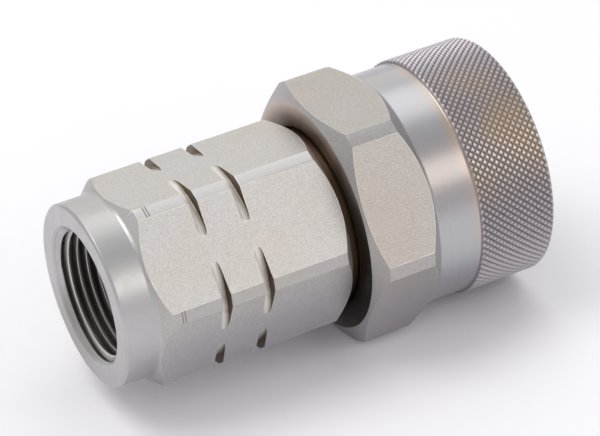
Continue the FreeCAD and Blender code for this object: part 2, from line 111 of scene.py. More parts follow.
# Painted reflection: a warm yellow on the knurl's front side
KNURL_PAINTED_REFLECTION = (132, 40)
# The same for the painted highlight: the lighter plate colour painted on the corner that catches the light,
# counted from the hexagon's roll
LIT_CORNER_PAINTED_HIGHLIGHT = (120, 28)
# Along the axis, in millimetres: where the front body's staining and painted shade in the gap have run out
# and where they are full
FRONT_BODY_STAIN_AND_SHADE = (56.0, 48.5)
# The same past the knurl's edge, for where the neck's yellow cast and its painted pink reflection have run
# out and where they are full
NECK_CAST_END = (0.6, 0.2)

STAGE_MIDDLE = Vector((0.045, 0, 0))
CAMERA_PLACE = Vector((-0.17219, -0.44796, 0.32228))
CAMERA_TURN = Matrix((
    (0.87723, 0.30994, -0.36662),
    (-0.47512, 0.45089, -0.75561),
    (-0.06889, 0.83703, 0.54278),
))
# Name, place, width and height, watts and tone of each lamp
LAMPS = (
    ("overhead_softbox", (0.40, 0.34, 0.73), (0.70, 0.46), 1.0, (1.0, 1.0, 0.98)),
    ("front_softbox", (0.40, -0.66, 0.46), (0.70, 0.34), 1.0, (1.0, 0.955, 0.87)),
    ("rear_softbox", (0.30, 0.85, 0.36), (0.90, 0.45), 0.55, (1.0, 0.94, 0.76)),
    ("left_softbox", (-0.30, 0.16, 0.80), (0.50, 0.50), 2.4, (1.0, 0.99, 0.96)),
)


def length(name, millimetres, description):
    return FloatProperty(
        name=name, description=description, default=millimetres * MM, unit="LENGTH", subtype="DISTANCE",
        precision=5,
    )


def colour(name, value, description):
    return FloatVectorProperty(
        name=name, description=description, default=value, size=3, subtype="COLOR", min=0, max=1
    )


def factor(name, value, description):
    return FloatProperty(name=name, description=description, default=value, min=0, max=1, subtype="FACTOR")


def turn_count(name, value, least, description):
    return FloatProperty(name=name, description=description, default=value, min=least)


def whole_number(name, value, least, description):
    return IntProperty(name=name, description=description, default=value, min=least)


class PortBodySizes(bpy.types.PropertyGroup):
    """Sizes of the hexagon body with the port."""

    steps: whole_number("Steps", 420, 24, "Facets in one turn of the body")
    hex_length: length("Hexagon end", 46.6, "Distance from the port face to the end of the hexagon")
    apothem: length("Apothem", 18.0, "Half the width across flats")
    corner_radius: length("Corner radius", 20.15, "Turned radius of the hexagon's corners")
    collar_radius: length("Collar radius", 17.75, "Radius of the round collar at the port")
    collar_length: length("Collar length", 6.8, "Length of the round collar")
    collar_chamfer: length("Collar chamfer", 0.45, "Chamfer on the collar's outer edge")
    collar_root: length("Collar root", 0.2, "How far the collar's finish runs on into its root")
    cone_run: length("Cone run", 2.01, "Length of the cones at both ends of the hexagon")
    scribe_start: length("Scribed lines", 10.5, "Where the first of the two scribed lines begins")
    scribe_step: length("Scribed line step", 0.55, "Distance from one scribed line to the next")
    scribe_width: length("Scribed line width", 0.24, "Width of a scribed line")
    scribe_depth: length("Scribed line depth", 0.04, "Depth of a scribed line")
    first_groove: length("First groove", 18.6, "Where the first corner groove begins")
    second_groove: length("Second groove", 27.3, "Where the second corner groove begins")
    groove_width: length("Groove width", 2.0, "Width of a corner groove")
    groove_floor: length("Groove floor radius", 18.2, "Radius at the floor of a corner groove")
    groove_wall: length("Groove wall", 0.15, "Run of a corner groove's drafted wall")
    port_radius: length("Port radius", 13.22, "Radius of the port's thread root")
    port_chamfer: length("Port chamfer", 0.5, "Chamfer at the port's mouth")
    port_depth: length("Port depth", 17.0, "Depth of the threaded port")
    flow_start: length("Flow bore start", 19.15, "Where the cone behind the port meets the flow bore")
    flow_radius: length("Flow bore radius", 9.5, "Radius of the bore behind the port")
    guide_seat: length("Guide seat", 29.0, "Where the stem guide's seat lies")
    guide_bore: length("Guide bore radius", 11.0, "Radius of the bore that holds the stem guide")
    snap_start: length("Snap ring groove", 33.0, "Where the snap ring's groove begins")
    snap_width: length("Snap ring groove width", 1.36, "Width of the snap ring's groove")
    snap_floor: length("Snap ring groove radius", 11.8, "Radius at the floor of the snap ring's groove")
    tail_radius: length("Tail radius", 15.0, "Radius of the tail that carries the front body")
    tail_root: length("Tail root radius", 14.15, "Radius of the undercut behind the hexagon")
    tail_root_length: length("Tail root length", 1.2, "Length of the undercut behind the hexagon")
    tail_root_cone: length("Tail root cone", 0.85, "Run of the cone from the undercut to the tail")
    pilot_radius: length("Pilot radius", 13.9, "Radius of the pilot at the tail's end")
    pilot_length: length("Pilot length", 4.4, "Length of the pilot")
    pilot_cone: length("Pilot cone", 1.05, "Run of the cone from the tail to the pilot")
    pilot_chamfer: length("Pilot chamfer", 0.3, "Chamfer at the pilot's end")
    seal_wall: length("Body seal wall", 0.6, "Wall between the pilot's end and the body seal's groove")
    seal_width: length("Body seal groove width", 3.2, "Width of the body seal's groove")
    seal_floor: length("Body seal groove radius", 12.15, "Radius at the floor of the body seal's groove")
    roll: FloatProperty(
        name="Hexagon roll", description="Turn of the hexagon about the axis", default=math.radians(-7.45),
        subtype="ANGLE", unit="ROTATION",
    )
    edge_break: length("Edge break", 0.14, "Size of the small rounding on edges")


class SleeveSizes(bpy.types.PropertyGroup):
    """Sizes of the screw sleeve with its hexagon and knurl."""

    apothem: length("Apothem", 23.0, "Half the width across flats")
    corner_radius: length("Corner radius", 25.8, "Turned radius of the hexagon's corners")
    face_radius: length("Rear face radius", 22.3, "Outer radius of the rear face")
    rear_cone: length("Rear cone run", 2.02, "Length of the cone behind the hexagon")
    front_cone: length("Front cone run", 3.0, "Length of the cone in front of the hexagon")
    hex_length: length("Hexagon length", 14.5, "Length of the hexagon with its cones")
    neck_radius: length("Neck radius", 22.8, "Radius of the plain neck")
    neck_fillet: length("Neck fillet", 0.4, "Rounding between the cone and the neck")
    neck_tint: length("Neck tint", 2.6, "How far the yellow cast runs from the knurl along the neck")
    knurl_length: length("Knurl length", 16.0, "Length of the knurled band with its chamfers")
    knurl_radius: length("Knurl radius", 23.4, "Radius over the knurl")
    knurl_depth: length("Knurl depth", 0.54, "Depth of the knurl to its unbroken points")
    knurl_flat: length("Knurl flat", 0.25, "How far the point of each diamond is cut back along its ridges")
    knurl_count: whole_number("Knurl count", 100, 20, "Diamonds in one turn")
    knurl_rows: whole_number("Knurl rows", 20, 4, "Half diamonds along the band")
    rear_chamfer: length("Knurl rear chamfer", 0.6, "Chamfer at the knurl's rear edge")
    front_chamfer: length("Knurl front chamfer", 0.5, "Chamfer at the knurl's front edge")
    mouth_chamfer: length("Mouth chamfer", 1.0, "Chamfer where the mating half enters")
    thread_radius: length("Thread radius", 20.0, "Root radius of the coupling thread")
    thread_length: length("Thread length", 9.4, "Length of the coupling thread")
    relief_radius: length("Relief radius", 20.3, "Radius of the relief behind the thread")
    relief_step: length("Relief step", 0.3, "Run of the step from the thread to the relief")
    lip_radius: length("Lip radius", 17.28, "Radius of the bearing lip")
    lip_length: length("Lip length", 9.5, "Length of the bearing lip")
    lip_chamfer: length("Lip chamfer", 0.5, "Chamfer at the lip's rear edge")
    stain_and_shade_reach: length("Stain reach", 0.6, "How far the dark stain reaches out from the lip")
    dust_groove_start: length("Dust groove", 51.0, "Where the dust seal's groove begins")
    dust_groove_width: length("Dust groove width", 1.8, "Width of the dust seal's groove")
    dust_groove_radius: length("Dust groove radius", 18.68, "Radius at the floor of the dust seal's groove")
    edge_break: length("Edge break", 0.14, "Size of the small rounding on edges")


class ThreadSizes(bpy.types.PropertyGroup):
    """Sizes of the two internal threads."""

    steps: whole_number("Steps", 96, 24, "Facets in one turn of a thread")
    port_pitch: length("Port pitch", 1.814, "Pitch of the port thread")
    port_crest: length("Port crest radius", 12.06, "Crest radius of the port thread")
    port_start: length("Port thread start", -0.9, "Where the port thread's first ridge begins")
    port_turns: turn_count("Port turns", 9.0, 1, "Turns of the port thread")
    coupling_pitch: length("Coupling pitch", 2.0, "Pitch of the coupling thread")
    coupling_crest: length("Coupling crest radius", 18.92, "Crest radius of the coupling thread")
    coupling_start: length("Coupling thread start", 77.7, "Where the coupling thread's first ridge begins")
    coupling_turns: turn_count("Coupling turns", 5.0, 1, "Turns of the coupling thread")
    fade: turn_count("Fade", 0.4, 0.05, "Turns over which a ridge rises to its full height")


class SpringSizes(bpy.types.PropertyGroup):
    """Sizes of the valve spring."""

    wire: length("Wire", 1.8, "Diameter of the spring's wire")
    outer_radius: length("Outer radius", 10.25, "Radius over the coil")
    turns: turn_count("Turns", 7.0, 2, "Turns of the coil")
    steps: whole_number("Steps", 56, 16, "Facets in one turn of the coil")
    wire_sides: whole_number("Wire sides", 16, 8, "Facets around the wire")


class FinishColours(bpy.types.PropertyGroup):
    """Colours and gloss of the finishes."""

    plate: colour("Plate", (0.585, 0.57, 0.562), "Blasted clear-plated steel of the body")
    plate_shade: colour("Plate shade", (0.50, 0.482, 0.474), "Darker grains in the body's plate")
    nut_plate: colour("Nut plate", (0.47, 0.442, 0.425), "Blasted clear-plated steel of the nut")
    nut_shade: colour("Nut shade", (0.405, 0.375, 0.36), "Darker grains in the nut's plate")
    plate_roughness: factor("Plate roughness", 0.40, "Roughness of the blasted plate")
    collar: colour("Collar plate", (0.50, 0.495, 0.495), "Smooth satin plate of the collar and the port face")
    collar_roughness: factor("Collar roughness", 0.36, "Roughness of the satin plate")
    # A dark brown reflection painted low on the satin plate
    painted_dark_reflection: colour("Collar smudge", (0.30, 0.285, 0.255), "Brown smudge low on the satin plate")
    # Edges drawn lighter: partly wear, partly a painted highlight
    edge: colour("Rubbed edge", (0.66, 0.635, 0.60), "Edges rubbed bright")
    edge_roughness: factor("Edge roughness", 0.38, "Roughness of the rubbed edges")
    turned: colour("Turned plate", (0.45, 0.45, 0.455), "Smooth turned and plated steel")
    turned_warm: colour("Turned plate tint", (0.58, 0.45, 0.31), "Yellow cast of the turned plate")
    # Pink cast of the turned plate, also the darker pink reflection painted on the neck's front side
    pink_cast_and_painted_reflection: colour("Turned plate pink tint", (0.37, 0.295, 0.265), "Pink cast of the turned plate")
    # Violet cast of the turned plate, also the violet reflection painted on the underside of the blasted
    # plate
    violet_cast_and_painted_reflection: colour("Turned plate cool tint", (0.46, 0.455, 0.52), "Violet cast of the turned plate")
    turned_roughness: factor("Turned roughness", 0.28, "Roughness of the turned plate")
    # Brown of the gap: partly staining, partly painted shade, darkest deep in the gap and low down
    stain_and_painted_shade: colour("Stain", (0.135, 0.09, 0.058), "Dark brown stain in the gap behind the nut")
    painted_shade_underneath: colour("Stain underneath", (0.03, 0.025, 0.022), "Nearly black stain low in the gap")
    stain_and_shade_edge: colour("Stain edge", (0.56, 0.47, 0.41), "Where the stain runs out")
    knurl: colour("Knurl crest", (0.56, 0.54, 0.565), "Tops of the knurl")
    # The knurl's grooves drawn dark as painted shade
    knurl_valley_painted_shade: colour("Knurl valley", (0.28, 0.245, 0.26), "Dark grooves of the knurl")
    # A warm yellow reflection painted on the knurl's front side
    knurl_painted_reflection: colour("Knurl tint", (0.54, 0.43, 0.29), "Yellow cast on the upper side of the knurl")
    scribe: colour("Scribed line", (0.27, 0.25, 0.225), "Brown cast in the scribed lines")
    # Brown of the groove walls: partly staining, partly painted shade
    groove_wall: colour("Groove wall", (0.17, 0.13, 0.098), "Brown stain on the walls of the corner grooves")
    groove_floor: colour("Groove floor", (0.66, 0.638, 0.60), "Pale floor of the corner grooves")
    corner: colour("Corner plate", (0.485, 0.47, 0.463), "Smooth plate of the hexagon's corners and cones")
    # Dark steel inside the port, as painted shade
    bore: colour("Bore", (0.25, 0.24, 0.228), "Machined steel inside the port")
    # The thread crests drawn bright as a painted highlight
    crest: colour("Thread crest", (0.78, 0.76, 0.73), "Bright crests of a thread")
    inner: colour("Inner steel", (0.42, 0.41, 0.40), "Machined inner steel")
    spring: colour("Spring steel", (0.30, 0.29, 0.28), "Drawn spring wire")
    rubber: colour("Rubber", (0.022, 0.022, 0.024), "Seal rubber")
    backup: colour("Backup plastic", (0.72, 0.70, 0.64), "Backup rings")
    bronze: colour("Bronze", (0.45, 0.28, 0.13), "Bearing bronze")


class StageSettings(bpy.types.PropertyGroup):
    """Camera, floor and light."""

    lens: FloatProperty(
        name="Lens", description="Focal length", default=188.98, min=1, subtype="DISTANCE_CAMERA"
    )
    floor: colour("Floor", (0.945, 0.94, 0.965), "Pale floor")
    floor_size: FloatProperty(name="Floor size", description="Width of the floor", default=6.0, unit="LENGTH")
    sky: colour("Zenith", (0.65, 0.65, 0.66), "Light from straight above")
    horizon: colour("Horizon", (0.74, 0.735, 0.755), "Light from the sides")


def radius_of(point):
    return math.hypot(point.y, point.z)


def whole(bm):
    """All of a mesh's elements, as the operators take them."""
    return [*bm.verts, *bm.edges, *bm.faces]


def open_edges(bm):
    return [edge for edge in bm.edges if edge.is_boundary]


def face_outwards(bm):
    bmesh.ops.recalc_face_normals(bm, faces=list(bm.faces))


def trim(bm, x, side):
    """Cut off what lies past x on this side of it, and close the cut."""
    bmesh.ops.bisect_plane(
        bm, geom=whole(bm), dist=SAME_PLACE, plane_co=(x, 0, 0), plane_no=(side, 0, 0), clear_outer=True
    )
    bmesh.ops.holes_fill(bm, edges=open_edges(bm), sides=0)


def corner_groove(sizes, start):
    """Outline of one square corner groove with drafted walls and a rounded floor."""
    end = start + sizes.groove_width
    rounding = 2.5 * sizes.edge_break
    return [
        (start, sizes.corner_radius, sizes.edge_break),
        (start + sizes.groove_wall, sizes.groove_floor, rounding),
        (end - sizes.groove_wall, sizes.groove_floor, rounding),
        (end, sizes.corner_radius, sizes.edge_break),
    ]


def scribed_line(sizes, start):
    """Outline of one shallow scribed line on the hexagon's corners."""
    middle = start + 0.5 * sizes.scribe_width
    return [
        (start, sizes.corner_radius, 0),
        (middle, sizes.corner_radius - sizes.scribe_depth, 0),
        (start + sizes.scribe_width, sizes.corner_radius, 0),
    ]


def outline_wire(bm, outline):
    """Closed outline of (x, radius, rounding) corners in the half plane above the axis, as edges only."""
    verts = [bm.verts.new((x, radius, 0)) for x, radius, _ in outline]
    bm.faces.new(verts)
    rounding = {}
    for vert, (_, _, size) in zip(verts, outline):
        if size > 0:
            rounding.setdefault(round(size, 7), []).append(vert)
    for size, corners in rounding.items():
        bmesh.ops.bevel(
            bm, geom=corners, offset=size, offset_type="OFFSET", segments=5 if size > WIDE_ROUNDING else 3,
            profile=0.5, affect="VERTICES", clamp_overlap=True, material=-1,
        )
    bmesh.ops.delete(bm, geom=list(bm.faces), context="FACES_ONLY")


def turned_blank(outline, steps):
    """Spin an outline once round the axis and close the seam."""
    bm = bmesh.new()
    outline_wire(bm, outline)
    bmesh.ops.spin(
        bm, geom=[*bm.verts, *bm.edges], cent=(0, 0, 0), axis=AXIS, angle=2 * math.pi, steps=steps,
        use_merge=True,
    )
    bmesh.ops.remove_doubles(bm, verts=list(bm.verts), dist=SAME_PLACE)
    face_outwards(bm)
    return bm


def cut_flats(bm, apothem, first_angle, end, edge_break):
    """Cut six flats into the turned blank up to end and sink them inside a narrow broken edge.

    The points of a rim are welded in a fixed order, so that each run gives the same mesh.
    Gives back the flats and the faces of their broken edges.
    """
    sink, rim_width = 0.15 * edge_break, 0.6 * edge_break
    flats = []
    for side in range(HEX_SIDES):
        angle = first_angle + side * 2 * math.pi / HEX_SIDES
        normal = Vector((0, math.cos(angle), math.sin(angle)))
        near = [f for f in bm.faces if all(v.co.x < end for v in f.verts)]
        verts = dict.fromkeys(v for f in near for v in f.verts)
        edges = dict.fromkeys(e for f in near for e in f.edges)
        cut = bmesh.ops.bisect_plane(
            bm, geom=[*verts, *edges, *near], dist=FLAT_SNAP, plane_co=normal * (apothem + sink),
            plane_no=normal, clear_outer=True,
        )
        rim = [v for v in cut["geom_cut"] if isinstance(v, bmesh.types.BMVert)]
        rim.sort(key=lambda v: (round(v.co.x, 6), round(v.co.y, 6), round(v.co.z, 6)))
        bmesh.ops.remove_doubles(bm, verts=rim, dist=RIM_WELD)
        made = bmesh.ops.contextual_create(bm, geom=open_edges(bm))
        if len(made["faces"]) != 1:
            raise RuntimeError("A flat of the hexagon was not closed by one face")
        flats.append(made["faces"][0])
    face_outwards(bm)
    broken = bmesh.ops.inset_region(
        bm, faces=flats, thickness=rim_width, depth=-sink, use_boundary=True, use_even_offset=True
    )
    return set(flats), set(broken["faces"])


def link_object(name, data):
    item = bpy.data.objects.new(name, data)
    bpy.context.scene.collection.objects.link(item)
    return item


def finish_piece(bm, name, body, finishes, zone=None, nodes=(), faceted=None, even_normals=True):
    """Make the object: smooth faces with sharp edges, its finishes, its body and its nodes.

    Finishes are materials by the name of their zone, and zone gives a face's name.
    """
    zones = list(finishes)
    for face in bm.faces:
        face.smooth = True
        if zone:
            face.material_index = zones.index(zone(face))
    for edge in bm.edges:
        edge.smooth = edge.calc_face_angle(0) < SHARP_ANGLE
    if faceted:
        for face in bm.faces:
            if faceted(face):
                for edge in face.edges:
                    edge.smooth = False
    mesh = bpy.data.meshes.new(name)
    bm.to_mesh(mesh)
    bm.free()
    for material in finishes.values():
        mesh.materials.append(material)
    piece = link_object(name, mesh)
    if even_normals:
        piece.modifiers.new("even_normals", "WEIGHTED_NORMAL").keep_sharp = True
    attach(piece, body)
    if nodes:
        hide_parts(*nodes)
    return piece


def add_node(tree, kind, values=None, **settings):
    """Add one shader node, set its inputs and its options."""
    node = tree.nodes.new(kind)
    for key, value in settings.items():
        setattr(node, key, value)
    for key, value in (values or {}).items():
        node.inputs[key].default_value = value
    return node


def feed(tree, value, socket):
    """Link a socket to an input, or set the input to a plain value."""
    if isinstance(value, bpy.types.NodeSocket):
        tree.links.new(value, socket)
    else:
        socket.default_value = value


def shade(value, share):
    return tuple(min(1.0, c * share) for c in value)


def opaque(value):
    return value if isinstance(value, bpy.types.NodeSocket) else (*value, 1.0)


def new_surface(name):
    """Empty node material with its shader, its tree and the object coordinates."""
    material = bpy.data.materials.new(name)
    material.use_nodes = True
    tree = material.node_tree
    tree.nodes.clear()
    output = add_node(tree, "ShaderNodeOutputMaterial")
    shader = add_node(tree, "ShaderNodeBsdfPrincipled")
    tree.links.new(shader.outputs["BSDF"], output.inputs["Surface"])
    place = add_node(tree, "ShaderNodeTexCoord")
    return material, tree, shader, place.outputs["Object"]


def set_finish(tree, shader, tone, roughness, metal=1.0):
    """Give the shader its colour, its roughness and its share of metal."""
    tree.links.new(tone, shader.inputs["Base Color"])
    tree.links.new(roughness, shader.inputs["Roughness"])
    shader.inputs["Metallic"].default_value = metal


def noise(tree, vector, scale, detail=2.0):
    """Noise on the object's coordinates."""
    node = add_node(tree, "ShaderNodeTexNoise", {"Scale": scale, "Detail": detail, "Roughness": 0.55})
    tree.links.new(vector, node.inputs["Vector"])
    return node.outputs["Fac"]


def ramp(tree, value, stops, smooth=False):
    """Colour ramp through the given (position, colour) stops."""
    node = add_node(tree, "ShaderNodeValToRGB")
    node.color_ramp.interpolation = "EASE" if smooth else "LINEAR"
    marks = node.color_ramp.elements
    while len(marks) < len(stops):
        marks.new(0.5)
    for mark, (position, tone) in zip(marks, stops):
        mark.position = position
        mark.color = opaque(tone)
    tree.links.new(value, node.inputs["Fac"])
    return node.outputs["Color"]


def remap(tree, value, low, high, to_low=0.0, to_high=1.0):
    """Carry the range from low to high over to another range, and stay within it."""
    limits = {"From Min": low, "From Max": high, "To Min": to_low, "To Max": to_high}
    node = add_node(tree, "ShaderNodeMapRange", limits)
    tree.links.new(value, node.inputs["Value"])
    return node.outputs["Result"]


def mix(tree, share, first, second):
    """Mix two colours, each a socket or a plain colour."""
    node = add_node(tree, "ShaderNodeMix", data_type="RGBA")
    share_input, first_input, second_input = node.inputs[0], node.inputs[6], node.inputs[7]
    feed(tree, share, share_input)
    feed(tree, opaque(first), first_input)
    feed(tree, opaque(second), second_input)
    return node.outputs[2]


def arithmetic(tree, operation, first, second):
    node = add_node(tree, "ShaderNodeMath", operation=operation)
    feed(tree, first, node.inputs[0])
    feed(tree, second, node.inputs[1])
    return node.outputs["Value"]


def times(tree, first, second):
    return arithmetic(tree, "MULTIPLY", first, second)


def power(tree, value, exponent):
    return arithmetic(tree, "POWER", value, exponent)


def axial_parts(tree, vector):
    """Distance along the axis and distance from it, in millimetres."""
    parts = add_node(tree, "ShaderNodeSeparateXYZ")
    tree.links.new(vector, parts.inputs["Vector"])
    along = times(tree, parts.outputs["X"], 1 / MM)
    across, up = (power(tree, parts.outputs[name], 2.0) for name in "YZ")
    square = arithmetic(tree, "ADD", across, up)
    out = times(tree, arithmetic(tree, "SQRT", square, 0.0), 1 / MM)
    return along, out


def ring_noise(tree, along, out, per_millimetre, detail=2.0):
    """Noise in rings round the axis, on faces and on cylinders alike."""
    place = times(tree, arithmetic(tree, "ADD", along, out), per_millimetre)
    node = add_node(tree, "ShaderNodeTexNoise", {"Scale": 1.0, "Detail": detail}, noise_dimensions="1D")
    tree.links.new(place, node.inputs["W"])
    return node.outputs["Fac"]


def side_share(tree, vector, out, side):
    """One on this side of the piece, given by its angle and spread, falling to nothing over the spread."""
    angle, spread = (math.radians(degrees) for degrees in side)
    node = add_node(tree, "ShaderNodeVectorMath", operation="DOT_PRODUCT")
    tree.links.new(vector, node.inputs[0])
    node.inputs[1].default_value = (0, math.cos(angle) / MM, math.sin(angle) / MM)
    towards = arithmetic(tree, "DIVIDE", node.outputs["Value"], out)
    return remap(tree, towards, math.cos(spread), 1.0)


def add_bump(tree, shader, height, strength, depth):
    bump = add_node(tree, "ShaderNodeBump", {"Strength": strength, "Distance": depth})
    tree.links.new(height, bump.inputs["Height"])
    tree.links.new(bump.outputs["Normal"], shader.inputs["Normal"])


def blasted_plate(name, finish, light, dark, roughness, grain_depth, warm_share, painted_highlight_side=None):
    """Fine-blasted plated steel: small bright and dark grains over a slow mottle, a violet reflection painted
    on the underside and, when a side is given, a painted highlight on it.
    """
    material, tree, shader, place = new_surface(name)
    _, out = axial_parts(tree, place)
    grain = noise(tree, place, 4200)
    mottle = noise(tree, place, 1500)
    cast = noise(tree, place, 48)
    under = side_share(tree, place, out, BLASTED_UNDERSIDE_PAINTED_REFLECTION)
    tone = ramp(tree, grain, ((0.37, dark), (0.50, light), (0.62, shade(light, 1.11))))
    tone = mix(tree, remap(tree, mottle, 0.42, 0.66, 0.0, 0.30), tone, dark)
    tone = mix(tree, remap(tree, cast, 0.50, 0.68, 0.0, warm_share), tone, finish.turned_warm)
    tone = mix(tree, remap(tree, cast, 0.48, 0.32, 0.0, 0.10), tone, finish.violet_cast_and_painted_reflection)
    # Painted reflection: violet on the underside
    tone = mix(tree, times(tree, under, 0.5), tone, finish.violet_cast_and_painted_reflection)
    # Painted highlight: the lighter body plate colour on the given side
    if painted_highlight_side:
        tone = mix(tree, side_share(tree, place, out, painted_highlight_side), tone, finish.plate)
    set_finish(tree, shader, tone, remap(tree, grain, 0.25, 0.75, roughness - 0.07, roughness + 0.08))
    add_bump(tree, shader, grain, 1.0, grain_depth)
    return material


def satin_plate(name, finish):
    """Faced and turned satin plate: fine rings round the axis that draw the highlights out, and a dark brown
    reflection painted low on one side.
    """
    material, tree, shader, place = new_surface(name)
    along, out = axial_parts(tree, place)
    light, roughness = finish.collar, finish.collar_roughness
    rings = ring_noise(tree, along, out, 9.0)
    cloud = noise(tree, place, 300, 3.0)
    # Painted reflection: dark brown low on one side
    painted_dark_reflection = side_share(tree, place, out, COLLAR_PAINTED_REFLECTION)
    tone = ramp(tree, rings, ((0.3, shade(light, 0.96)), (0.7, shade(light, 1.04))))
    tone = mix(tree, remap(tree, cloud, 0.35, 0.7, 0.0, 0.35), tone, shade(light, 0.9))
    tone = mix(tree, times(tree, painted_dark_reflection, 0.6), tone, finish.painted_dark_reflection)
    set_finish(tree, shader, tone, remap(tree, cloud, 0.3, 0.7, roughness - 0.04, roughness + 0.05))
    add_bump(tree, shader, rings, 0.35, 0.02 * MM)
    return material


def turned_plate(name, finish, light, roughness, tint_at=None, stain_and_shade_at=None):
    """Turned and passivated steel: faint rings round the axis, a thin yellow to violet cast, and on the neck
    a darker pink reflection painted on its front side.

    The tint is strongest at its first place along the axis, and the brown staining with painted shade at its
    second, in millimetres.
    """
    material, tree, shader, place = new_surface(name)
    along, out = axial_parts(tree, place)
    rings = ring_noise(tree, along, out, 4.0)
    patch = noise(tree, place, 70)
    tone = ramp(tree, rings, ((0.3, shade(light, 0.985)), (0.7, shade(light, 1.015))))
    tone = mix(tree, remap(tree, patch, 0.40, 0.62, 0.0, 0.4), tone, finish.violet_cast_and_painted_reflection)
    if tint_at:
        near, far = tint_at
        gone, full = NECK_CAST_END
        on_neck = remap(tree, along, near + gone, near + full)
        # Painted reflection: a darker pink on the neck's front side
        painted_reflection_share = times(tree, side_share(tree, place, out, NECK_PAINTED_REFLECTION), on_neck)
        tone = mix(tree, times(tree, painted_reflection_share, 0.45), tone, finish.pink_cast_and_painted_reflection)
        pink = shade(finish.pink_cast_and_painted_reflection, 1.4)
        stops = ((0.36, pink), (0.52, finish.turned_warm), (0.68, pink))
        cast = ramp(tree, noise(tree, place, 38, 1.0), stops)
        edge = power(tree, remap(tree, along, far, near), 1.6)
        upper = power(tree, side_share(tree, place, out, NECK_TINT), 0.5)
        edge = times(tree, times(tree, edge, upper), on_neck)
        tone = mix(tree, times(tree, edge, 0.75), tone, cast)
    # Brown staining with painted shade where the neck runs into the gap
    if stain_and_shade_at:
        clear, stained_and_shaded = stain_and_shade_at
        tone = mix(tree, remap(tree, along, clear, stained_and_shaded), tone, shade(finish.stain_and_painted_shade, 1.5))
    set_finish(tree, shader, tone, remap(tree, rings, 0.2, 0.8, roughness - 0.01, roughness + 0.02))
    add_bump(tree, shader, rings, 0.04, 0.01 * MM)
    return material


def rubbed(name, light, roughness, metal=1.0):
    """Narrow rubbed place with duller and brighter spots: an edge, drawn lighter as wear and as a painted
    highlight, a scribed line, or the cone in the gap with its staining and painted shade.
    """
    material, tree, shader, place = new_surface(name)
    wear = noise(tree, place, 420, 3.0)
    tone = ramp(tree, wear, ((0.35, shade(light, 0.85)), (0.55, light), (0.75, shade(light, 1.1))))
    set_finish(tree, shader, tone, remap(tree, wear, 0.3, 0.7, roughness + 0.08, roughness - 0.08), metal)
    return material


def grooved_plate(name, finish, sizes):
    """Corner grooves: a pale floor that runs into brown staining and painted shade at the front wall."""
    material, tree, shader, place = new_surface(name)
    along, _ = axial_parts(tree, place)
    cloud = noise(tree, place, 420, 3.0)
    start, step = sizes.first_groove / MM, (sizes.second_groove - sizes.first_groove) / MM
    across = arithmetic(tree, "MODULO", arithmetic(tree, "SUBTRACT", along, start), step)
    across = arithmetic(tree, "ADD", across, remap(tree, cloud, 0.3, 0.7, -0.1, 0.1))
    share = remap(tree, across, 0.0, sizes.groove_width / MM)
    middle = tuple((a + b) / 2 for a, b in zip(finish.groove_floor, finish.groove_wall))
    # Pale floor running into staining and painted shade at the front wall
    tone = ramp(tree, share, ((0.45, finish.groove_floor), (0.72, middle), (0.90, finish.groove_wall)))
    set_finish(tree, shader, tone, remap(tree, cloud, 0.3, 0.7, 0.40, 0.50))
    return material


def stained_and_shaded_face(name, finish, inner, outer):
    """Face in the narrow gap: brown staining and painted shade, darkest towards the axis, with nearly black
    painted shade on the lower side.
    """
    material, tree, shader, place = new_surface(name)
    _, out = axial_parts(tree, place)
    cloud = noise(tree, place, 260, 3.0)
    reach = arithmetic(tree, "ADD", out, remap(tree, cloud, 0.3, 0.7, -0.35, 0.35))
    # Partly staining, partly painted shade: darkest towards the axis, deep in the gap
    stops = ((0.0, finish.stain_and_painted_shade), (0.45, shade(finish.stain_and_shade_edge, 0.42)), (1.0, finish.stain_and_shade_edge))
    tone = ramp(tree, remap(tree, reach, inner, outer), stops)
    # Painted shade: nearly black on the lower side
    under = power(tree, side_share(tree, place, out, GAP_UNDERSIDE_PAINTED_SHADE), 0.5)
    tone = mix(tree, under, tone, finish.painted_shade_underneath)
    set_finish(tree, shader, tone, remap(tree, cloud, 0.3, 0.7, 0.42, 0.56))
    add_bump(tree, shader, cloud, 0.1, 0.02 * MM)
    return material


def knurled_plate(name, finish, sizes):
    """Knurl with bright rubbed tops and grooves darkened as painted shade, told apart by the distance from
    the axis, and a warm reflection painted on its front side.
    """
    material, tree, shader, place = new_surface(name)
    _, out = axial_parts(tree, place)
    crest, depth = sizes.knurl_radius / MM, sizes.knurl_depth / MM
    height = remap(tree, out, crest - 0.62 * depth, crest - 0.05 * depth)
    grain = noise(tree, place, 1500)
    top = mix(tree, remap(tree, grain, 0.3, 0.7, 0.0, 0.3), finish.knurl, shade(finish.knurl, 0.8))
    # Painted shade: the grooves darker than the tops
    tone = mix(tree, height, finish.knurl_valley_painted_shade, top)
    # Painted reflection: warm yellow on the front side, in patches
    painted_reflection_share = side_share(tree, place, out, KNURL_PAINTED_REFLECTION)
    reflection_patches = remap(tree, noise(tree, place, 75, 1.0), 0.38, 0.60, 0.12, 0.55)
    tone = mix(tree, times(tree, painted_reflection_share, reflection_patches), tone, finish.knurl_painted_reflection)
    set_finish(tree, shader, tone, remap(tree, height, 0.0, 1.0, 0.55, 0.46))
    add_bump(tree, shader, grain, 0.1, 0.01 * MM)
    return material


